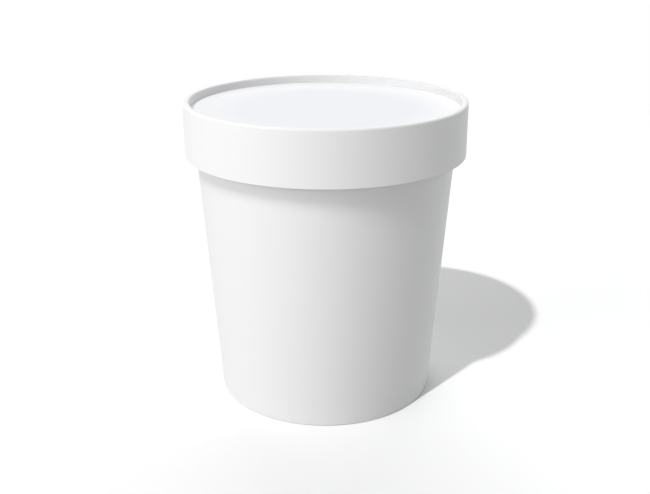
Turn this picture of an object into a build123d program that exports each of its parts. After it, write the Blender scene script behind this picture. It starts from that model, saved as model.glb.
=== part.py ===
"""A round paper ice cream tub with its push-on paper lid, closed.

The tub stands on its foot at Z = 0, with its axis on Z. Both side seams are at the back, on +Y.
"""
from build123d import *
from math import cos, radians, sin, tan
import os

# Tub, in millimetres
foot_radius = 39.85  # outside of the wall where it stands
wall_angle = 3.95  # degrees that the wall leans outwards
tub_height = 105.05  # foot to the top of the rolled rim
tub_board = 0.45  # thickness of the tub's board
curl_diameter = 2.7  # of the rolled rim
curl_turn = 305  # degrees that the rim is rolled round
heel_height = 6.0  # top of the wall's edge, folded up inside the foot
heel_crease = 0.05  # inside radius of the creases at the foot
floor_height = 7.0  # underside of the bottom disc
floor_end_gap = 0.15  # from the end of the bottom's flange to the fold at the foot

# Lid
lid_board = 0.6  # thickness of the lid's board
skirt_depth = 18.7  # lid's top to the lower edge of its skirt
skirt_flare = 0.4  # degrees that the skirt widens downwards
rim_width = 2.3  # of the folded rim around the panel
rim_fold_radius = 0.75  # outside radius of the rim's two folds
panel_recess = 2.95  # lid's top to the top of the panel
flange_end_gap = 0.3  # from the end of the panel's flange to the fold over it

# Fits and glue lines
glue_gap = 0.02  # between boards that are glued or sealed together
lid_fit = 0.12  # radial gap between the rolled rim and the skirt
lid_seat_gap = 0.1  # between the rolled rim and the panel above it

# Side seams
seam_lap = 6.0  # length of the glued overlap
seam_ramp = 5.0  # length over which the outer layer climbs onto the inner one
seam_step = 0.36  # height of the overlap's cut edge after pressing
seam_root = 0.1  # how far the overlap is let into the wall that it joins
seam_skive = 1.5  # length over which the overlap thins out towards a fold
seam_fold_gap = 0.8  # from the thinned end of an overlap to the fold at the foot or inside the rim

wall_cos = cos(radians(wall_angle))
wall_sin = sin(radians(wall_angle))
curl_radius = curl_diameter / 2
curl_height = tub_height - curl_radius


def wall_radius(height, depth=0.0):
    """Radius, at a height, of the face that lies this deep under the outside of the wall."""
    return foot_radius + (height * wall_sin - depth) / wall_cos


curl_start_height = curl_height + curl_radius * wall_sin
curl_centre_radius = wall_radius(curl_start_height, tub_board) + curl_radius * wall_cos
curl_edge_radius = curl_centre_radius + curl_radius
panel_bottom = tub_height + lid_seat_gap
panel_top = panel_bottom + lid_board
lid_top = panel_top + panel_recess
skirt_bottom = lid_top - skirt_depth


def curl_start(radius):
    """Point of the wall where a roll of this radius, about the rim's centre, begins."""
    return curl_centre_radius - radius * wall_cos, curl_height + radius * wall_sin


def skirt_radius(height, depth=0.0):
    """Radius, at a height, of the face that lies this deep under the outside of the skirt."""
    widening = (curl_height - height) * tan(radians(skirt_flare))
    return curl_edge_radius + lid_fit + lid_board + widening - depth


def seam_section(height, radius, step, start):
    """Section of an overlap at a height, on a wall of this radius.

    It runs round the back of the wall from its cut edge, at the length start from the seam's
    middle, to the end of the overlap, and down the ramp on which the outer layer climbs.
    """

    def back_point(length, rise):
        angle = length / radius
        return (radius + rise) * sin(angle), (radius + rise) * cos(angle)

    lap_end = seam_lap / 2
    ramp_end = lap_end + seam_ramp
    with BuildSketch(Plane.XY.offset(height)) as section:
        with BuildLine():
            Line(back_point(start, -seam_root), back_point(start, step))
            if start < lap_end:
                ThreePointArc(
                    back_point(start, step),
                    back_point((start + lap_end) / 2, step),
                    back_point(lap_end, step),
                )
            ThreePointArc(
                back_point(lap_end, step),
                back_point((lap_end + ramp_end) / 2, (step - seam_root) / 2),
                back_point(ramp_end, -seam_root),
            )
            ThreePointArc(
                back_point(ramp_end, -seam_root),
                back_point((start + ramp_end) / 2, -seam_root),
                back_point(start, -seam_root),
            )
        make_face()
    return section.sketch


def overlap_sections(steps, radius_at):
    """Sections of the outer layer, which lies on the wall across the whole overlap."""
    return [seam_section(z, radius_at(z), step, -seam_lap / 2) for z, step in steps]


def underlap_sections(steps, radius_at, board):
    """Sections of the hollow under the ramp, beyond the cut edge of the inner layer."""
    return [seam_section(z, radius_at(z, board), step, seam_lap / 2) for z, step in steps]


# The tub's wall: one wrapped blank, drawn along its food side from the folded heel to the rolled rim
heel_depth = 2 * (tub_board + glue_gap)
curl_bottom = curl_height - curl_radius
tub_overlap = [
    (seam_fold_gap, 0),
    (seam_fold_gap + seam_skive, seam_step),
    (curl_bottom - seam_skive, seam_step),
    (curl_bottom, 0),
]
tub_underlap = [
    (floor_height + tub_board, 0),
    (floor_height + tub_board + seam_skive, seam_step),
    (curl_bottom - seam_skive, seam_step),
    (curl_bottom, 0),
]
with BuildPart() as tub_wall:
    with BuildSketch(Plane.XZ):
        with BuildLine():
            food_side = FilletPolyline(
                (wall_radius(heel_height, heel_depth), heel_height),
                (wall_radius(tub_board, heel_depth), tub_board),
                (wall_radius(tub_board, tub_board), tub_board),
                curl_start(curl_radius),
                radius=heel_crease,
            )
            printed_side = FilletPolyline(
                (wall_radius(heel_height, heel_depth + tub_board), heel_height),
                (wall_radius(0, heel_depth + tub_board), 0),
                (wall_radius(0), 0),
                curl_start(curl_radius - tub_board),
                radius=heel_crease + tub_board,
            )
            roll_outside = JernArc(food_side @ 1, food_side % 1, curl_radius, -curl_turn)
            roll_inside = JernArc(printed_side @ 1, printed_side % 1, curl_radius - tub_board, -curl_turn)
            Line(food_side @ 0, printed_side @ 0)
            Line(roll_outside @ 1, roll_inside @ 1)
        make_face()
    revolve(axis=Axis.Z)
    loft(sections=overlap_sections(tub_overlap, wall_radius), ruled=True)
    loft(sections=underlap_sections(tub_underlap, wall_radius, tub_board), ruled=True, mode=Mode.SUBTRACT)
tub_wall.part.label = "tub_wall"

# The tub's bottom: a disc whose flange is turned down and clamped in the heel
with BuildPart() as tub_bottom:
    with BuildSketch(Plane.XZ):
        with BuildLine():
            flange_depth = 2 * tub_board + glue_gap
            flange_end = tub_board + floor_end_gap
            Polyline(
                (0, floor_height),
                (wall_radius(floor_height, flange_depth), floor_height),
                (wall_radius(flange_end, flange_depth), flange_end),
            )
            offset(amount=tub_board, side=Side.LEFT, mode=Mode.ADD)
        make_face()
    revolve(axis=Axis.Z)
tub_bottom.part.label = "tub_bottom"

# The lid's ring: a wrapped strip, folded inwards at the top and down to the panel
rim_inside_radius = skirt_radius(lid_top) - rim_width
rim_fold_bottom = lid_top - rim_fold_radius
lid_lap = [
    (skirt_bottom, seam_step),
    (rim_fold_bottom - seam_skive, seam_step),
    (rim_fold_bottom, 0),
]
with BuildPart() as lid_ring:
    with BuildSketch(Plane.XZ):
        with BuildLine():
            FilletPolyline(
                (skirt_radius(skirt_bottom), skirt_bottom),
                (skirt_radius(lid_top), lid_top),
                (rim_inside_radius, lid_top),
                (rim_inside_radius, panel_top + glue_gap),
                radius=rim_fold_radius,
            )
            offset(amount=lid_board, side=Side.LEFT, mode=Mode.ADD)
        make_face()
    revolve(axis=Axis.Z)
    loft(sections=overlap_sections(lid_lap, skirt_radius), ruled=True)
    loft(sections=underlap_sections(lid_lap, skirt_radius, lid_board), ruled=True, mode=Mode.SUBTRACT)
lid_ring.part.label = "lid_ring"

# The lid's disc: the panel, with its flange turned up behind the ring's folded edge
with BuildPart() as lid_disc:
    with BuildSketch(Plane.XZ):
        with BuildLine():
            flange_radius = rim_inside_radius + lid_board + glue_gap
            Polyline(
                (0, panel_top),
                (flange_radius, panel_top),
                (flange_radius, lid_top - lid_board - flange_end_gap),
            )
            offset(amount=lid_board, side=Side.RIGHT, mode=Mode.ADD)
        make_face()
    revolve(axis=Axis.Z)
lid_disc.part.label = "lid_disc"

os.makedirs("parts", exist_ok=True)
for piece in (tub_wall, tub_bottom, lid_ring, lid_disc):
    export_step(piece.part, f"parts/{piece.part.label}.step")
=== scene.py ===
from math import atan2, cos, hypot, pi, radians, sin, tan

import bmesh
import bpy
import numpy as np
from mathutils import Matrix, Vector


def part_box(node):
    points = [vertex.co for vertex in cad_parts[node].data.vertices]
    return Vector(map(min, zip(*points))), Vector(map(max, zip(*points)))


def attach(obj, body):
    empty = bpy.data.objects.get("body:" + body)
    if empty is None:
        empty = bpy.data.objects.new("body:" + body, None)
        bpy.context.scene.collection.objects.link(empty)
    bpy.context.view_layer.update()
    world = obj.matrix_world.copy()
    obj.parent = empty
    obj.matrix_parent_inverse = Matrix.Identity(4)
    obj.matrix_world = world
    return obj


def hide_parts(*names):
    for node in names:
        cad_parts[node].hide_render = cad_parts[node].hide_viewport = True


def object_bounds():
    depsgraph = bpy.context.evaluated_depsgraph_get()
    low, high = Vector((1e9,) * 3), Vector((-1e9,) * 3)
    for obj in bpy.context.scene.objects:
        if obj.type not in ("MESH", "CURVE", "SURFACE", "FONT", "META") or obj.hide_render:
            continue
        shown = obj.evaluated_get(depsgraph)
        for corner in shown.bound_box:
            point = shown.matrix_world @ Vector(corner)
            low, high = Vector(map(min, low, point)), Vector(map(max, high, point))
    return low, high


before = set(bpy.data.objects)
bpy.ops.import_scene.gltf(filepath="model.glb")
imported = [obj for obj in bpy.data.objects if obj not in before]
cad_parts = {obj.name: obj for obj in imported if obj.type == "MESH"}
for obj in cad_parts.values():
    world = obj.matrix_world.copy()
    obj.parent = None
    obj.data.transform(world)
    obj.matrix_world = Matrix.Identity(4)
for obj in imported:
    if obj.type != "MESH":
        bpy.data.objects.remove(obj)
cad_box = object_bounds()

bl_info = {
    "name": "Paper Ice Cream Tub",
    "version": (1, 0, 0),
    "blender": (4, 5, 0),
    "location": "3D View > Sidebar > Paper Tub",
    "description": "Models the boards of a round paper tub and its lid around the packed frame",
    "category": "Add Mesh",
}

MM = 0.001  # one millimetre, in metres
GLUE_GAP = 0.02 * MM  # between boards that are sealed together

# Meshes
STEPS = 256  # columns round the tub
ARC_STEP = radians(10)  # turn of each facet of a small fold or roll
STRAIGHT = radians(1)  # a corner that turns less than this isn't rounded
SUPPORT = 0.3 * MM  # from a fold to the row that keeps the flat beside it evenly shaded
SMOOTH_ANGLE = radians(38)  # sharper edges than this stay sharp
WELD = 0.002 * MM  # points nearer than this become one
ON_FACE = 0.05 * MM  # a point this near to a board's face lies on it
BACK = radians(15)  # half of the stretch round the back that the seams lie in
CUT_WIDTH = 0.03 * MM  # width of the column that stands up as a lap's cut edge
KNURL_START = 1.0 * MM  # foot to the lower end of the knurl
DISH_POWER = 8  # the higher, the nearer to its edge the panel turns up
DISH_SHARES = (0, 0.3, 0.5, 0.62, 0.7, 0.76, 0.81, 0.855, 0.895, 0.93, 0.965)  # of the panel's radius

# Order of the materials on each board
PRINTED, FOOD, CUT, RECESS_SHADE = range(4)

# Sockets of a Mix node of colours, whose other sockets bear the same names
MIX_A, MIX_B, MIX_RESULT = 6, 7, 2

foot_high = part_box("tub_bottom")[1]
wall_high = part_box("tub_wall")[1]
ring_low, ring_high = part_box("lid_ring")
disc_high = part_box("lid_disc")[1]


def linear(hex_colour):
    """Linear RGBA of an sRGB hex colour."""
    values = [int(hex_colour[i : i + 2], 16) / 255 for i in (0, 2, 4)]
    return [v / 12.92 if v <= 0.04045 else ((v + 0.055) / 1.055) ** 2.4 for v in values] + [1.0]


# ---------------------------------------------------------------- settings


class TubSizes(bpy.types.PropertyGroup):
    """Sizes of the tub's wall and bottom."""

    lean: bpy.props.FloatProperty(
        name="Wall lean",
        description="Angle at which the wall leans outwards",
        default=radians(3.95),
        unit="ROTATION",
    )
    board: bpy.props.FloatProperty(
        name="Tub board", description="Thickness of the tub's board", default=0.45 * MM, unit="LENGTH"
    )
    height: bpy.props.FloatProperty(
        name="Height", description="Foot to the top of the rolled rim", default=wall_high.z, unit="LENGTH"
    )
    foot_radius: bpy.props.FloatProperty(
        name="Foot radius",
        description="Outside radius of the wall where it stands",
        default=39.85 * MM,
        unit="LENGTH",
    )
    roll: bpy.props.FloatProperty(
        name="Rolled rim", description="Diameter of the rolled rim", default=2.7 * MM, unit="LENGTH"
    )
    roll_turn: bpy.props.FloatProperty(
        name="Roll turn",
        description="Angle through which the rim is rolled",
        default=radians(305),
        unit="ROTATION",
    )
    heel: bpy.props.FloatProperty(
        name="Heel height",
        description="Foot to the cut edge that is folded up inside",
        default=6.0 * MM,
        unit="LENGTH",
    )
    crease: bpy.props.FloatProperty(
        name="Foot crease",
        description="Inside radius of the creases at the foot",
        default=0.05 * MM,
        unit="LENGTH",
    )
    floor: bpy.props.FloatProperty(
        name="Bottom height",
        description="Foot to the underside of the bottom disc",
        default=foot_high.z - 0.45 * MM,
        unit="LENGTH",
    )
    floor_fold: bpy.props.FloatProperty(
        name="Bottom fold",
        description="Inside radius of the fold between the bottom and its flange",
        default=0.18 * MM,
        unit="LENGTH",
    )
    flange_gap: bpy.props.FloatProperty(
        name="Flange gap",
        description="End of the bottom's flange to the fold at the foot",
        default=0.15 * MM,
        unit="LENGTH",
    )
    knurl: bpy.props.FloatProperty(
        name="Knurl depth",
        description="Depth of the ribs that the heel is pressed together with",
        default=0.12 * MM,
        unit="LENGTH",
    )


class LidSizes(bpy.types.PropertyGroup):
    """Sizes of the lid's ring and panel."""

    board: bpy.props.FloatProperty(
        name="Lid board", description="Thickness of the lid's board", default=0.6 * MM, unit="LENGTH"
    )
    radius: bpy.props.FloatProperty(
        name="Lid radius",
        description="Outside radius of the skirt's lower edge",
        default=ring_high.x,
        unit="LENGTH",
    )
    flare: bpy.props.FloatProperty(
        name="Skirt flare",
        description="Angle at which the skirt widens downwards",
        default=radians(0.4),
        unit="ROTATION",
    )
    rim_width: bpy.props.FloatProperty(
        name="Rim width", description="Width of the folded rim", default=2.3 * MM, unit="LENGTH"
    )
    fold: bpy.props.FloatProperty(
        name="Rim fold",
        description="Outside radius of the rim's two folds",
        default=0.75 * MM,
        unit="LENGTH",
    )
    recess: bpy.props.FloatProperty(
        name="Panel recess",
        description="Top of the rim to the top of the panel",
        default=2.95 * MM,
        unit="LENGTH",
    )
    panel_fold: bpy.props.FloatProperty(
        name="Panel fold",
        description="Inside radius of the fold between the panel and its flange",
        default=0.2 * MM,
        unit="LENGTH",
    )
    dish: bpy.props.FloatProperty(
        name="Panel dish",
        description="How far the panel's middle lies under its edge",
        default=0.85 * MM,
        unit="LENGTH",
    )


class SeamSizes(bpy.types.PropertyGroup):
    """Sizes of the glued side seams at the back."""

    lap: bpy.props.FloatProperty(
        name="Lap", description="Length of the glued overlap", default=6.0 * MM, unit="LENGTH"
    )
    ramp: bpy.props.FloatProperty(
        name="Ramp",
        description="Length over which the outer layer climbs onto the inner one",
        default=5.0 * MM,
        unit="LENGTH",
    )
    step: bpy.props.FloatProperty(
        name="Step", description="Height of the pressed cut edge", default=0.36 * MM, unit="LENGTH"
    )
    skive: bpy.props.FloatProperty(
        name="Skive",
        description="Length over which the lap thins out towards a fold",
        default=1.5 * MM,
        unit="LENGTH",
    )
    fold_gap: bpy.props.FloatProperty(
        name="Fold gap",
        description="Foot to the thinned lower end of the lap",
        default=0.8 * MM,
        unit="LENGTH",
    )


class BoardColours(bpy.types.PropertyGroup):
    """Colours of the boards."""

    clay: bpy.props.FloatVectorProperty(
        name="Clay coating",
        description="Colour of the coated outside",
        subtype="COLOR",
        size=4,
        default=linear("EFEFEF"),
    )
    panel_clay: bpy.props.FloatVectorProperty(
        name="Panel coating",
        description="Colour of the coated panel of the lid",
        subtype="COLOR",
        size=4,
        default=linear("EAEBEE"),
    )
    # Painted highlight: the lighter colour that the panel fades into towards its edge, where light
    # brightens it.
    painted_edge_highlight: bpy.props.FloatVectorProperty(
        name="Panel edge",
        description="Colour that the panel's coating fades into towards its edge",
        subtype="COLOR",
        size=4,
        default=linear("F5F5F7"),
    )
    film: bpy.props.FloatVectorProperty(
        name="Food side",
        description="Colour of the board under its clear film",
        subtype="COLOR",
        size=4,
        default=linear("EDECE8"),
    )
    # Painted shade: a greyer colour for the inside wall of the lid's rim, standing in for the shade in the
    # recess above the panel.
    recess_shade: bpy.props.FloatVectorProperty(
        name="Formed board",
        description="Colour of the coated board where the tool presses it inside the rim",
        subtype="COLOR",
        size=4,
        default=linear("E1E1E1"),
    )
    fibre: bpy.props.FloatVectorProperty(
        name="Cut edge",
        description="Colour of the bare fibre in a cut edge",
        subtype="COLOR",
        size=4,
        default=linear("E2DDD0"),
    )
    floor: bpy.props.FloatVectorProperty(
        name="Studio floor",
        description="Colour of the floor",
        subtype="COLOR",
        size=4,
        default=linear("FCFCFC"),
    )
    floor_bounce: bpy.props.FloatVectorProperty(
        name="Floor bounce",
        description="Colour of the light that the floor throws back up",
        subtype="COLOR",
        size=4,
        default=linear("CBCBCB"),
    )
    side_light: bpy.props.FloatVectorProperty(
        name="Right soft box",
        description="Colour of the slightly cool soft box at the right",
        subtype="COLOR",
        size=4,
        default=linear("F6FAFF"),
    )


class StageSizes(bpy.types.PropertyGroup):
    """Places and strengths of the stage's camera and lights."""

    distance: bpy.props.FloatProperty(
        name="Camera distance",
        description="From the tub's axis to the camera, over the floor",
        default=316.7 * MM,
        unit="LENGTH",
    )
    height: bpy.props.FloatProperty(
        name="Camera height", description="Camera above the floor", default=169.7 * MM, unit="LENGTH"
    )
    side: bpy.props.FloatProperty(
        name="Camera side", description="Camera to the right of the axis", default=-0.2 * MM, unit="LENGTH"
    )
    pitch: bpy.props.FloatProperty(
        name="Camera pitch",
        description="Angle that the camera looks down",
        default=radians(20.29),
        unit="ROTATION",
    )
    lens: bpy.props.FloatProperty(
        name="Lens", description="Focal length of the camera's lens", default=50.0, unit="CAMERA"
    )
    key_azimuth: bpy.props.FloatProperty(
        name="Key azimuth",
        description="Direction of the key light, anticlockwise from +X",
        default=radians(-125.3),
        unit="ROTATION",
    )
    key_elevation: bpy.props.FloatProperty(
        name="Key elevation",
        description="Key light above the floor",
        default=radians(53.7),
        unit="ROTATION",
    )
    key_strength: bpy.props.FloatProperty(
        name="Floor key strength", description="Strength of the key light on the floor", default=1.79
    )
    key_spread: bpy.props.FloatProperty(
        name="Floor key spread",
        description="Angle across the key light on the floor, which softens the shadow's edge",
        default=radians(1.9),
        unit="ROTATION",
    )
    key_power: bpy.props.FloatProperty(
        name="Tub key power",
        description="Power of the key soft box that lights the tub",
        default=20.8,
        unit="POWER",
    )
    key_size: bpy.props.FloatProperty(
        name="Tub key size", description="Width of the key soft box", default=0.53, unit="LENGTH"
    )
    key_distance: bpy.props.FloatProperty(
        name="Tub key distance",
        description="From the tub's middle to the key soft box",
        default=2.0,
        unit="LENGTH",
    )
    sky_strength: bpy.props.FloatProperty(
        name="Sky strength", description="Strength of the soft light from all round", default=0.21
    )
    left_power: bpy.props.FloatProperty(
        name="Left soft box", description="Power of the soft box at the left", default=10.3, unit="POWER"
    )
    front_power: bpy.props.FloatProperty(
        name="Front soft box",
        description="Power of the soft box at the front left",
        default=2.9,
        unit="POWER",
    )
    right_power: bpy.props.FloatProperty(
        name="Right soft box",
        description="Power of the soft box behind at the right, which lights the edge of the board",
        default=6.9,
        unit="POWER",
    )
    back_power: bpy.props.FloatProperty(
        name="Back soft box",
        description="Power of the soft box high up at the back",
        default=9.2,
        unit="POWER",
    )
    box_size: bpy.props.FloatProperty(
        name="Soft box size", description="Width of each soft box", default=1.2, unit="LENGTH"
    )
    box_distance: bpy.props.FloatProperty(
        name="Soft box distance",
        description="From the tub's middle to each soft box",
        default=1.6,
        unit="LENGTH",
    )
    fade_start: bpy.props.FloatProperty(
        name="Floor fade start",
        description="From the axis to where the floor begins to fade to plain white",
        default=0.22,
        unit="LENGTH",
    )
    fade_end: bpy.props.FloatProperty(
        name="Floor fade end",
        description="From the axis to where the floor is plain white",
        default=0.6,
        unit="LENGTH",
    )


# ---------------------------------------------------------------- modelling by hand


def wall_radius(height, depth=0.0):
    """Radius, at a height, of the face that lies this deep under the outside of the wall."""
    tub = bpy.context.scene.tub_sizes
    return tub.foot_radius + (height * sin(tub.lean) - depth) / cos(tub.lean)


def skirt_radius(height, depth=0.0):
    """Radius, at a height, of the face that lies this deep under the outside of the skirt."""
    lid = bpy.context.scene.lid_sizes
    return lid.radius - (height - ring_low.z) * tan(lid.flare) - depth


def deselect_all():
    """Leaves edit mode, if it is on, with nothing selected."""
    if bpy.context.mode != "OBJECT":
        bpy.ops.object.mode_set(mode="OBJECT")
    bpy.ops.object.select_all(action="DESELECT")


def rounded_path(corners, radius):
    """A path through the corners, each inner one rounded, with a supporting row beside each rounding."""
    corners = [Vector(corner) for corner in corners]
    runs = [[corners[0]]]
    for before, corner, after in zip(corners, corners[1:], corners[2:]):
        into, out = (corner - before).normalized(), (after - corner).normalized()
        turn = atan2(into.x * out.y - into.y * out.x, into.dot(out))
        if abs(turn) < STRAIGHT:
            runs.append([corner])
            continue
        start = corner - into * radius * tan(abs(turn) / 2)
        side = 1 if turn > 0 else -1
        centre = start + Vector((-into.y, into.x)) * radius * side
        runs.append(arc(centre, start, turn))
    runs.append([corners[-1]])
    path = []
    for run, following in zip(runs, runs[1:]):
        path += run
        gap = following[0] - run[-1]
        if gap.length > 4 * SUPPORT:
            if len(run) > 1:
                path.append(run[-1] + gap.normalized() * SUPPORT)
            if len(following) > 1:
                path.append(following[0] - gap.normalized() * SUPPORT)
    return path + runs[-1]


def arc(centre, start, turn):
    """Points from start round the centre, through an angle that is positive anticlockwise."""
    centre, start = Vector(centre), Vector(start)
    facets = max(2, round(abs(turn) / ARC_STEP))
    return [centre + Matrix.Rotation(turn * k / facets, 2) @ (start - centre) for k in range(facets + 1)]


def draw_section(name, points, closed):
    """Draws a board's section on the XZ plane, extruding one point after another."""
    deselect_all()
    first = points[0]
    bpy.ops.mesh.primitive_plane_add(size=SUPPORT, location=(first.x, 0, first.y))
    piece = bpy.context.object
    piece.name = piece.data.name = name
    bpy.ops.object.transform_apply(location=True, rotation=True, scale=True)
    bpy.ops.object.mode_set(mode="EDIT")
    bpy.ops.mesh.select_mode(type="VERT")
    bpy.ops.mesh.select_all(action="SELECT")
    bpy.ops.mesh.merge(type="CENTER")
    for last, point in zip(points, points[1:]):
        move = point - last
        bpy.ops.mesh.extrude_vertices_move(TRANSFORM_OT_translate={"value": (move.x, 0, move.y)})
    if closed:
        mesh = bmesh.from_edit_mesh(piece.data)
        for vertex in mesh.verts:
            vertex.select_set(len(vertex.link_edges) < 2)
        mesh.select_flush_mode()
        bmesh.update_edit_mesh(piece.data)
        bpy.ops.mesh.edge_face_add()
    return piece


def turn_section():
    """Spins the section that is being edited once round Z and closes the skin."""
    bpy.ops.mesh.select_all(action="SELECT")
    bpy.ops.mesh.spin(steps=STEPS, angle=2 * pi, center=(0, 0, 0), axis=(0, 0, 1))
    bpy.ops.mesh.select_all(action="SELECT")
    bpy.ops.mesh.remove_doubles(threshold=WELD)
    bpy.ops.mesh.normals_make_consistent(inside=False)
    bpy.ops.mesh.select_all(action="DESELECT")
    bpy.ops.object.mode_set(mode="OBJECT")


def mark_faces(piece, points, kinds):
    """Gives each face the kind of the section's edge that it was spun from."""
    starts = np.array([tuple(point) for point in points])
    ends = np.roll(starts, -1, axis=0)[: len(kinds)]
    starts = starts[: len(kinds)]
    along = ends - starts
    squares = np.maximum((along**2).sum(axis=1), np.finfo(float).tiny)
    for face in piece.data.polygons:
        place = np.array((hypot(face.center.x, face.center.y), face.center.z))
        share = np.clip(((place - starts) * along).sum(axis=1) / squares, 0, 1)
        off = ((starts + along * share[:, None] - place) ** 2).sum(axis=1)
        face.material_index = kinds[int(off.argmin())]


def cut_columns(piece, angles):
    """Bisects the back of a board at angles from +Y, positive towards +X."""
    deselect_all()
    piece.select_set(True)
    bpy.context.view_layer.objects.active = piece
    bpy.ops.object.mode_set(mode="EDIT")
    bpy.ops.mesh.select_mode(type="FACE")
    for angle in angles:
        mesh = bmesh.from_edit_mesh(piece.data)
        for face in mesh.faces:
            centre = face.calc_center_median()
            face.select_set(abs(atan2(centre.x, centre.y)) < BACK)
        bmesh.update_edit_mesh(piece.data)
        bpy.ops.mesh.bisect(plane_co=(0, 0, 0), plane_no=(cos(angle), -sin(angle), 0))
    bpy.ops.mesh.select_all(action="DESELECT")
    bpy.ops.object.mode_set(mode="OBJECT")


def glue_seam(piece, outside, inside, outside_rows, inside_rows):
    """Laps the blank's two ends at the back: the outer layer climbs onto the inner one.

    outside and inside give the radius of the board's two faces at a height. The rows are the
    lap's heights with its rise at each.
    """
    seam = bpy.context.scene.tub_seam
    mid_radius = outside(sum(height for height, rise in outside_rows) / len(outside_rows))
    lap = seam.lap / 2 / mid_radius
    ramp = (seam.lap / 2 + seam.ramp) / mid_radius
    edge = CUT_WIDTH / mid_radius
    cut_columns(piece, (-lap - edge, -lap, lap, lap + edge, ramp))
    for vertex in piece.data.vertices:
        angle = atan2(vertex.co.x, vertex.co.y)
        if abs(angle) > ramp:
            continue
        radius = vertex.co.xy.length
        climb = 1.0
        if angle > lap:
            share = (ramp - angle) / (ramp - lap)
            climb = share * share * (3 - 2 * share)  # level at both ends of the ramp
        rise = 0.0
        if abs(radius - outside(vertex.co.z)) < ON_FACE and angle > -lap - edge / 2:
            rise = lap_rise(outside_rows, vertex.co.z) * climb
        elif abs(radius - inside(vertex.co.z)) < ON_FACE and angle > lap + edge / 2:
            rise = lap_rise(inside_rows, vertex.co.z) * climb
        vertex.co.x *= (radius + rise) / radius
        vertex.co.y *= (radius + rise) / radius
    for face in piece.data.polygons:
        angle = atan2(face.center.x, face.center.y)
        at_outer_cut = -lap - edge < angle < -lap and face.material_index == PRINTED
        at_inner_cut = lap < angle < lap + edge and face.material_index == FOOD
        if at_outer_cut or at_inner_cut:
            face.material_index = CUT


def lap_rise(rows, height):
    """Height of the lap's step at a height on the board."""
    heights, rises = zip(*rows)
    return float(np.interp(height, heights, rises, left=0, right=0))


def finish_board(piece, body, node, printed, food):
    """Shades the board, gives it its finishes and ties it to the frame."""
    deselect_all()
    piece.select_set(True)
    bpy.context.view_layer.objects.active = piece
    for material in (printed, food, raw_board_edge(), painted_recess_shade()):
        piece.data.materials.append(material)
    bpy.ops.object.shade_smooth_by_angle(angle=SMOOTH_ANGLE)
    piece.select_set(False)
    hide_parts(node)
    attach(piece, body)


# ---------------------------------------------------------------- finishes


def add_node(tree, kind, settings=(), inputs=(), links=()):
    """Adds a node with its settings, the values of its inputs and what is linked to them."""
    node = tree.nodes.new(kind)
    for name, value in dict(settings).items():
        setattr(node, name, value)
    for name, value in dict(inputs).items():
        node.inputs[name].default_value = value
    for name, source in dict(links).items():
        tree.links.new(source, node.inputs[name])
    return node


def new_material(name):
    """An empty node material and its tree."""
    material = bpy.data.materials.new(name)
    material.use_nodes = True
    material.node_tree.nodes.clear()
    return material, material.node_tree


def shade_of(colour, factor):
    """The colour, this many times as bright."""
    return [channel * factor for channel in colour[:3]] + [1.0]


def board_finish(name, colour, cloud_mm, cloud_depth, grain_mm, grain_height_mm, roughness, specular):
    """A board's face: soft clouds of colour and gloss, and a fine relief of fibres.

    The clouds are some millimetres across, as on real board. Its fibres are about 0.03 mm wide,
    too fine to show, so the grain is drawn as coarse as it needs to show.
    """
    material, tree = new_material(name)
    place = add_node(tree, "ShaderNodeTexCoord").outputs["Object"]
    clouds = add_node(
        tree,
        "ShaderNodeTexNoise",
        inputs={"Scale": 1 / (cloud_mm * MM), "Detail": 3.0, "Roughness": 0.55},
        links={"Vector": place},
    )
    tint = add_node(
        tree,
        "ShaderNodeMix",
        settings={"data_type": "RGBA"},
        inputs={MIX_A: shade_of(colour, 1 - cloud_depth), MIX_B: shade_of(colour, 1 + cloud_depth)},
        links={"Factor": clouds.outputs["Fac"]},
    )
    swing = 0.04  # of the roughness, from the glossier clouds to the duller ones
    gloss = add_node(
        tree,
        "ShaderNodeMapRange",
        inputs={"From Min": 0.3, "From Max": 0.7, "To Min": roughness - swing, "To Max": roughness + swing},
        links={"Value": clouds.outputs["Fac"]},
    )
    grain = add_node(
        tree,
        "ShaderNodeTexNoise",
        inputs={"Scale": 1 / (grain_mm * MM), "Detail": 2.0, "Roughness": 0.6},
        links={"Vector": place},
    )
    relief = add_node(
        tree,
        "ShaderNodeBump",
        inputs={"Strength": 0.5, "Distance": grain_height_mm * MM},
        links={"Height": grain.outputs["Fac"]},
    )
    shader = add_node(
        tree,
        "ShaderNodeBsdfPrincipled",
        inputs={"IOR": 1.5, "Specular IOR Level": specular},
        links={
            "Base Color": tint.outputs[MIX_RESULT],
            "Roughness": gloss.outputs["Result"],
            "Normal": relief.outputs["Normal"],
        },
    )
    add_node(tree, "ShaderNodeOutputMaterial", links={"Surface": shader.outputs["BSDF"]})
    return material


def clay_coated_board():
    """Bleached board, clay coated and calendered: an even satin white with barely any grain."""
    return board_finish(
        "clay_coated_board",
        bpy.context.scene.tub_colours.clay,
        cloud_mm=5.0,
        cloud_depth=0.006,
        grain_mm=0.5,
        grain_height_mm=0.003,
        roughness=0.55,
        specular=0.2,
    )


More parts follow.
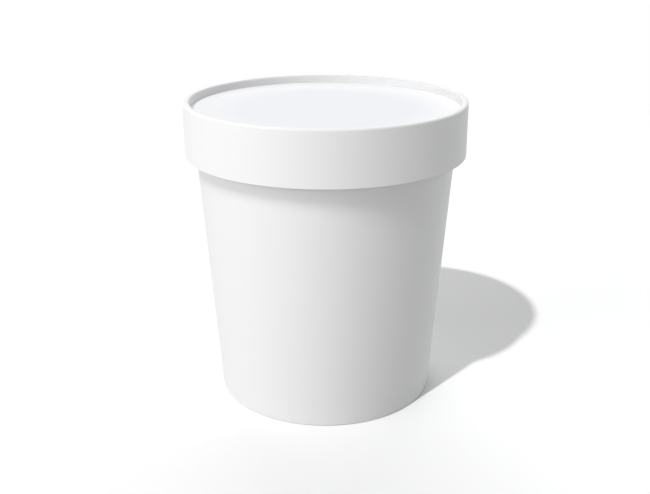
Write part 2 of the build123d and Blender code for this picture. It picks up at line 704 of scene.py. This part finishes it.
def clay_panel_painted_highlight():
    """The lid's panel: the same board, a shade darker and cooler, with a painted highlight that lightens it
    towards its edge.
    """
    colours = bpy.context.scene.tub_colours
    material = board_finish(
        "clay_panel_painted_highlight",
        colours.panel_clay,
        cloud_mm=5.0,
        cloud_depth=0.006,
        grain_mm=0.5,
        grain_height_mm=0.003,
        roughness=0.6,
        specular=0.2,
    )
    # Painted highlight: from the first of these radii out to the second the panel's colour lightens.
    fade_start, fade_end = 28 * MM, 48 * MM  # from the tub's axis
    tree = material.node_tree
    base = tree.nodes["Principled BSDF"].inputs["Base Color"]
    place = add_node(tree, "ShaderNodeTexCoord").outputs["Object"]
    level = add_node(  # the place without its height
        tree,
        "ShaderNodeVectorMath",
        settings={"operation": "MULTIPLY"},
        inputs={1: (1, 1, 0)},
        links={0: place},
    )
    from_axis = add_node(
        tree,
        "ShaderNodeVectorMath",
        settings={"operation": "LENGTH"},
        links={"Vector": level.outputs["Vector"]},
    )
    fade = add_node(
        tree,
        "ShaderNodeMapRange",
        settings={"interpolation_type": "SMOOTHSTEP"},
        inputs={"From Min": fade_start, "From Max": fade_end},
        links={"Value": from_axis.outputs["Value"]},
    )
    blend = add_node(
        tree,
        "ShaderNodeMix",
        settings={"data_type": "RGBA"},
        inputs={MIX_B: colours.painted_edge_highlight},
        links={"Factor": fade.outputs["Result"], MIX_A: base.links[0].from_socket},
    )
    tree.links.new(blend.outputs[MIX_RESULT], base)
    return material


def film_coated_board():
    """Board with polyethylene film on its food side: a soft waxy gloss over faint fibres."""
    return board_finish(
        "polyethylene_coated_board",
        bpy.context.scene.tub_colours.film,
        cloud_mm=4.0,
        cloud_depth=0.012,
        grain_mm=0.8,
        grain_height_mm=0.006,
        roughness=0.42,
        specular=0.5,
    )


def painted_recess_shade():
    """Coated board a shade greyer, for inside the rim: painted shade for the recess above the panel."""
    return bpy.data.materials.get("painted_recess_shade_board") or board_finish(
        "painted_recess_shade_board",
        bpy.context.scene.tub_colours.recess_shade,
        cloud_mm=3.0,
        cloud_depth=0.01,
        grain_mm=0.5,
        grain_height_mm=0.003,
        roughness=0.55,
        specular=0.2,
    )


def raw_board_edge():
    """The cut edge of the board: bare pressed fibre, matte and slightly creamy."""
    return bpy.data.materials.get("die_cut_board_edge") or board_finish(
        "die_cut_board_edge",
        bpy.context.scene.tub_colours.fibre,
        cloud_mm=0.6,
        cloud_depth=0.05,
        grain_mm=0.25,
        grain_height_mm=0.02,
        roughness=0.9,
        specular=0.2,
    )


# ---------------------------------------------------------------- the tub


class PAPERTUB_OT_wall(bpy.types.Operator):
    """Model the tub's wall, from the heel folded up inside the foot to the rolled rim"""

    bl_idname = "paper_tub.wall"
    bl_label = "Tub Wall"

    def execute(self, context):
        tub, seam = context.scene.tub_sizes, context.scene.tub_seam
        board = tub.board
        heel_depth = 2 * (board + GLUE_GAP)
        roll_radius = tub.roll / 2
        roll_height = tub.height - roll_radius
        roll_bottom = roll_height - roll_radius
        roll_start = roll_height + roll_radius * sin(tub.lean)
        roll_centre = Vector((wall_radius(roll_start, board) + roll_radius * cos(tub.lean), roll_height))

        def start_of_roll(radius):
            return roll_centre + Vector((-cos(tub.lean), sin(tub.lean))) * radius

        def side(depth, foot, rows, radius):
            corners = [
                (wall_radius(tub.heel, heel_depth + depth), tub.heel),
                (wall_radius(foot, heel_depth + depth), foot),
                (wall_radius(foot, board - depth), foot),
                *((wall_radius(height, board - depth), height) for height in rows),
                start_of_roll(radius),
            ]
            path = rounded_path(corners, tub.crease + depth)
            return path[:-1] + arc(roll_centre, path[-1], -tub.roll_turn)

        outside_rows = [
            (seam.fold_gap, 0),
            (seam.fold_gap + seam.skive, seam.step),
            (roll_bottom - seam.skive, seam.step),
            (roll_bottom, 0),
        ]
        inside_rows = [
            (tub.floor + board, 0),
            (tub.floor + board + seam.skive, seam.step),
            *outside_rows[2:],
        ]
        food = side(0, board, [height for height, rise in inside_rows], roll_radius)
        printed = side(board, 0, [height for height, rise in outside_rows], roll_radius - board)
        points = food + printed[::-1]
        kinds = [FOOD] * (len(food) - 1) + [CUT] + [PRINTED] * (len(printed) - 1) + [CUT]

        piece = draw_section("tub_wall_board", points, closed=True)
        turn_section()
        mark_faces(piece, points, kinds)
        self.press_knurl(piece, tub, heel_depth + board)
        glue_seam(piece, wall_radius, lambda height: wall_radius(height, board), outside_rows, inside_rows)
        finish_board(piece, "tub", "tub_wall", clay_coated_board(), film_coated_board())
        return {"FINISHED"}

    def press_knurl(self, piece, tub, depth):
        """Presses every second column of the heel's free face a little way in."""
        for vertex in piece.data.vertices:
            radius = vertex.co.xy.length
            on_face = abs(radius - wall_radius(vertex.co.z, depth)) < ON_FACE
            column = round(atan2(vertex.co.y, vertex.co.x) * STEPS / (2 * pi))
            if on_face and column % 2 and KNURL_START < vertex.co.z < tub.heel + ON_FACE:
                vertex.co.x *= (radius + tub.knurl) / radius
                vertex.co.y *= (radius + tub.knurl) / radius


class PAPERTUB_OT_bottom(bpy.types.Operator):
    """Model the tub's bottom, a disc whose flange is turned down into the heel"""

    bl_idname = "paper_tub.bottom"
    bl_label = "Tub Bottom"

    def execute(self, context):
        tub = context.scene.tub_sizes
        board = tub.board
        glued = board + GLUE_GAP
        end = board + tub.flange_gap
        top = rounded_path(
            [
                (0, tub.floor + board),
                (wall_radius(tub.floor + board, glued), tub.floor + board),
                (wall_radius(end, glued), end),
            ],
            tub.floor_fold + board,
        )
        under = rounded_path(
            [
                (0, tub.floor),
                (wall_radius(tub.floor, glued + board), tub.floor),
                (wall_radius(end, glued + board), end),
            ],
            tub.floor_fold,
        )
        points = top + under[::-1]
        kinds = [FOOD] * (len(top) - 1) + [CUT] + [PRINTED] * (len(under) - 1)
        piece = draw_section("tub_bottom_board", points, closed=False)
        turn_section()
        mark_faces(piece, points, kinds)
        finish_board(piece, "tub", "tub_bottom", clay_coated_board(), film_coated_board())
        return {"FINISHED"}


# ---------------------------------------------------------------- the lid


class PAPERTUB_OT_lid_ring(bpy.types.Operator):
    """Model the lid's ring, a wrapped strip folded inwards at the top and down to the panel"""

    bl_idname = "paper_tub.lid_ring"
    bl_label = "Lid Ring"

    def execute(self, context):
        lid, seam = context.scene.lid_sizes, context.scene.tub_seam
        board, top, bottom = lid.board, ring_high.z, ring_low.z
        panel = top - lid.recess + GLUE_GAP
        inner = skirt_radius(top) - lid.rim_width
        rows = [
            (bottom, seam.step),
            (top - lid.fold - seam.skive, seam.step),
            (top - lid.fold, 0),
        ]

        def side(depth):
            corners = [
                (skirt_radius(bottom, depth), bottom),
                (skirt_radius(rows[1][0], depth), rows[1][0]),
                (skirt_radius(top - depth, depth), top - depth),
                (inner + depth, top - depth),
                (inner + depth, panel),
            ]
            return rounded_path(corners, lid.fold - depth)

        printed, food = side(0), side(board)
        points = printed + food[::-1]
        kinds = [PRINTED] * (len(printed) - 1) + [CUT] + [FOOD] * (len(food) - 1) + [CUT]
        # The inside of the rim, from its inner fold down to the panel, takes the greyer board: painted
        # shade for the recess.
        for index, point in enumerate(printed[:-1]):
            if point.x < inner + lid.fold and point.y < top - ON_FACE:
                kinds[index] = RECESS_SHADE
        piece = draw_section("lid_ring_board", points, closed=True)
        turn_section()
        mark_faces(piece, points, kinds)
        glue_seam(piece, skirt_radius, lambda height: skirt_radius(height, board), rows, rows)
        finish_board(piece, "lid", "lid_ring", clay_coated_board(), film_coated_board())
        return {"FINISHED"}


class PAPERTUB_OT_lid_panel(bpy.types.Operator):
    """Model the lid's panel, a disc whose flange is turned up behind the ring's folded edge"""

    bl_idname = "paper_tub.lid_panel"
    bl_label = "Lid Panel"

    def execute(self, context):
        lid = context.scene.lid_sizes
        board, top = lid.board, ring_high.z - lid.recess
        inner = skirt_radius(ring_high.z) - lid.rim_width
        flange = inner + board + GLUE_GAP
        flat = inner - 2 * lid.panel_fold

        def side(depth):
            face, outer = top - depth, flange + depth
            dished = [
                Vector((flat * share, face - lid.dish * (1 - share**DISH_POWER))) for share in DISH_SHARES
            ]
            corners = [(flat, face), (outer, face), (outer, disc_high.z)]
            return dished + rounded_path(corners, lid.panel_fold + depth)

        printed, food = side(0), side(board)
        points = printed + food[::-1]
        kinds = [PRINTED] * (len(printed) - 1) + [CUT] + [FOOD] * (len(food) - 1)
        piece = draw_section("lid_panel_board", points, closed=False)
        turn_section()
        mark_faces(piece, points, kinds)
        finish_board(piece, "lid", "lid_disc", clay_panel_painted_highlight(), film_coated_board())
        return {"FINISHED"}


# ---------------------------------------------------------------- the stage


class PAPERTUB_OT_stage(bpy.types.Operator):
    """Lay a plain pale floor, light it softly and set up the camera"""

    bl_idname = "paper_tub.stage"
    bl_label = "Stage"
    floor_width = 8.0  # metres
    sensor_width = 36.0  # millimetres
    white = (1, 1, 1, 1)

    def execute(self, context):
        scene = context.scene
        stage, colours = scene.tub_stage, scene.tub_colours
        deselect_all()
        bpy.ops.mesh.primitive_plane_add(size=self.floor_width, location=(0, 0, 0))
        floor = context.object
        floor.name = "studio_floor"
        floor.data.materials.append(self.floor_finish(stage, colours))
        self.light_world(scene, stage)

        self.add_keys(stage, floor)
        for name, azimuth, elevation, power, colour in (
            ("left_soft_box", radians(-150), radians(12), stage.left_power, self.white),
            ("front_soft_box", radians(-120), radians(12), stage.front_power, self.white),
            ("right_soft_box", radians(30), radians(12), stage.right_power, colours.side_light),
            ("back_soft_box", radians(90), radians(50), stage.back_power, self.white),
        ):
            lamp = self.add_soft_box(name, azimuth, elevation, stage.box_distance, stage.box_size, power)
            lamp.data.color = colour[:3]

        bpy.ops.object.camera_add(
            location=(stage.side, -stage.distance, stage.height), rotation=(pi / 2 - stage.pitch, 0, 0)
        )
        camera = context.object
        camera.name = "studio_camera"
        camera.data.lens = stage.lens
        camera.data.sensor_width = self.sensor_width
        camera.data.clip_start, camera.data.clip_end = 0.01, 20.0
        bpy.context.scene.camera = camera
        scene.view_settings.view_transform = "Standard"
        return {"FINISHED"}

    def add_keys(self, stage, floor):
        """Adds the key light in two parts, which shine from the same direction.

        A sun of small spread draws the shadow on the floor, and a soft box models the tub.
        """
        bpy.ops.object.light_add(type="SUN", rotation=(0, pi / 2 - stage.key_elevation, stage.key_azimuth))
        floor_key = bpy.context.object
        floor_key.name = "floor_key"
        floor_key.data.energy, floor_key.data.angle = stage.key_strength, stage.key_spread
        tub_key = self.add_soft_box(
            "tub_key",
            stage.key_azimuth,
            stage.key_elevation,
            stage.key_distance,
            stage.key_size,
            stage.key_power,
        )
        for lamp, state in ((floor_key, "INCLUDE"), (tub_key, "EXCLUDE")):
            lit = bpy.data.collections.new(lamp.name + "_floor")
            lit.objects.link(floor)
            lit.collection_objects[0].light_linking.link_state = state
            lamp.light_linking.receiver_collection = lit

    def add_soft_box(self, name, azimuth, elevation, distance, size, power):
        """Adds a square soft box that faces the tub.

        Its azimuth is anticlockwise from +X, and its elevation is above the floor.
        """
        middle = (cad_box[0] + cad_box[1]) / 2
        level = cos(elevation)
        towards = Vector((cos(azimuth) * level, sin(azimuth) * level, sin(elevation)))
        bpy.ops.object.light_add(
            type="AREA",
            location=middle + towards * distance,
            rotation=towards.to_track_quat("Z", "Y").to_euler(),
        )
        lamp = bpy.context.object
        lamp.name = name
        lamp.data.energy, lamp.data.size = power, size
        return lamp

    def floor_finish(self, stage, colours):
        """Matte painted board: an even pale sweep that takes a soft shadow and fades to plain white."""
        material, tree = new_material("matte_painted_floor")
        near = add_node(tree, "ShaderNodeBsdfDiffuse", inputs={"Color": colours.floor})
        far = add_node(tree, "ShaderNodeEmission", inputs={"Color": self.white, "Strength": 1.0})
        place = add_node(tree, "ShaderNodeTexCoord").outputs["Object"]
        reach = add_node(
            tree, "ShaderNodeVectorMath", settings={"operation": "LENGTH"}, links={"Vector": place}
        )
        fade = add_node(
            tree,
            "ShaderNodeMapRange",
            settings={"interpolation_type": "SMOOTHSTEP"},
            inputs={"From Min": stage.fade_start, "From Max": stage.fade_end},
            links={"Value": reach.outputs["Value"]},
        )
        seen = add_node(tree, "ShaderNodeMixShader", links={"Fac": fade.outputs["Result"]})
        tree.links.new(near.outputs["BSDF"], seen.inputs[1])
        tree.links.new(far.outputs["Emission"], seen.inputs[2])
        bounced = add_node(tree, "ShaderNodeBsdfDiffuse", inputs={"Color": colours.floor_bounce})
        direct = self.direct_rays(tree)
        mixed = add_node(tree, "ShaderNodeMixShader", links={"Fac": direct})
        tree.links.new(bounced.outputs["BSDF"], mixed.inputs[1])
        tree.links.new(seen.outputs["Shader"], mixed.inputs[2])
        add_node(tree, "ShaderNodeOutputMaterial", links={"Surface": mixed.outputs["Shader"]})
        return material

    def light_world(self, scene, stage):
        """An even soft sky, with plain white behind the object."""
        world = bpy.data.worlds.new("studio_world")
        scene.world = world
        world.use_nodes = True
        tree = world.node_tree
        tree.nodes.clear()
        sky = add_node(
            tree, "ShaderNodeBackground", inputs={"Color": self.white, "Strength": stage.sky_strength}
        )
        backdrop = add_node(tree, "ShaderNodeBackground", inputs={"Color": self.white, "Strength": 1.0})
        direct = self.direct_rays(tree)
        mixed = add_node(tree, "ShaderNodeMixShader", links={"Fac": direct})
        tree.links.new(sky.outputs["Background"], mixed.inputs[1])
        tree.links.new(backdrop.outputs["Background"], mixed.inputs[2])
        add_node(tree, "ShaderNodeOutputWorld", links={"Surface": mixed.outputs["Shader"]})

    def direct_rays(self, tree):
        """One for rays that the camera, a reflection or a clear material sends out, else nothing."""
        rays = add_node(tree, "ShaderNodeLightPath")
        shiny = add_node(tree, "ShaderNodeMath", settings={"operation": "MAXIMUM"})
        tree.links.new(rays.outputs["Is Glossy Ray"], shiny.inputs[0])
        tree.links.new(rays.outputs["Is Transmission Ray"], shiny.inputs[1])
        either = add_node(tree, "ShaderNodeMath", settings={"operation": "MAXIMUM"})
        tree.links.new(rays.outputs["Is Camera Ray"], either.inputs[0])
        tree.links.new(shiny.outputs["Value"], either.inputs[1])
        return either.outputs["Value"]


class PAPERTUB_PT_sidebar(bpy.types.Panel):
    """Lists the tub's sizes and the steps that model it"""

    bl_idname = "PAPERTUB_PT_sidebar"
    bl_label = "Paper Tub"
    bl_space_type = "VIEW_3D"
    bl_region_type = "UI"
    bl_category = "Paper Tub"

    def draw(self, context):
        for group in PROPERTY_GROUPS:
            box = self.layout.box()
            settings = getattr(context.scene, group)
            for name in settings.bl_rna.properties.keys():
                if name not in {"rna_type", "name"}:
                    box.prop(settings, name)
        for operator in OPERATORS:
            self.layout.operator(operator.bl_idname)


PROPERTY_GROUPS = {
    "tub_sizes": TubSizes,
    "lid_sizes": LidSizes,
    "tub_seam": SeamSizes,
    "tub_colours": BoardColours,
    "tub_stage": StageSizes,
}
OPERATORS = (
    PAPERTUB_OT_stage,
    PAPERTUB_OT_wall,
    PAPERTUB_OT_bottom,
    PAPERTUB_OT_lid_ring,
    PAPERTUB_OT_lid_panel,
)


def register():
    for cls in (*PROPERTY_GROUPS.values(), *OPERATORS, PAPERTUB_PT_sidebar):
        bpy.utils.register_class(cls)
    for name, group in PROPERTY_GROUPS.items():
        setattr(bpy.types.Scene, name, bpy.props.PointerProperty(type=group))


def unregister():
    for name in PROPERTY_GROUPS:
        delattr(bpy.types.Scene, name)
    for cls in (PAPERTUB_PT_sidebar, *reversed(OPERATORS), *reversed(PROPERTY_GROUPS.values())):
        bpy.utils.unregister_class(cls)


def main():
    register()
    bpy.ops.paper_tub.stage()
    bpy.ops.paper_tub.wall()
    bpy.ops.paper_tub.bottom()
    bpy.ops.paper_tub.lid_ring()
    bpy.ops.paper_tub.lid_panel()


if __name__ == "__main__":
    main()
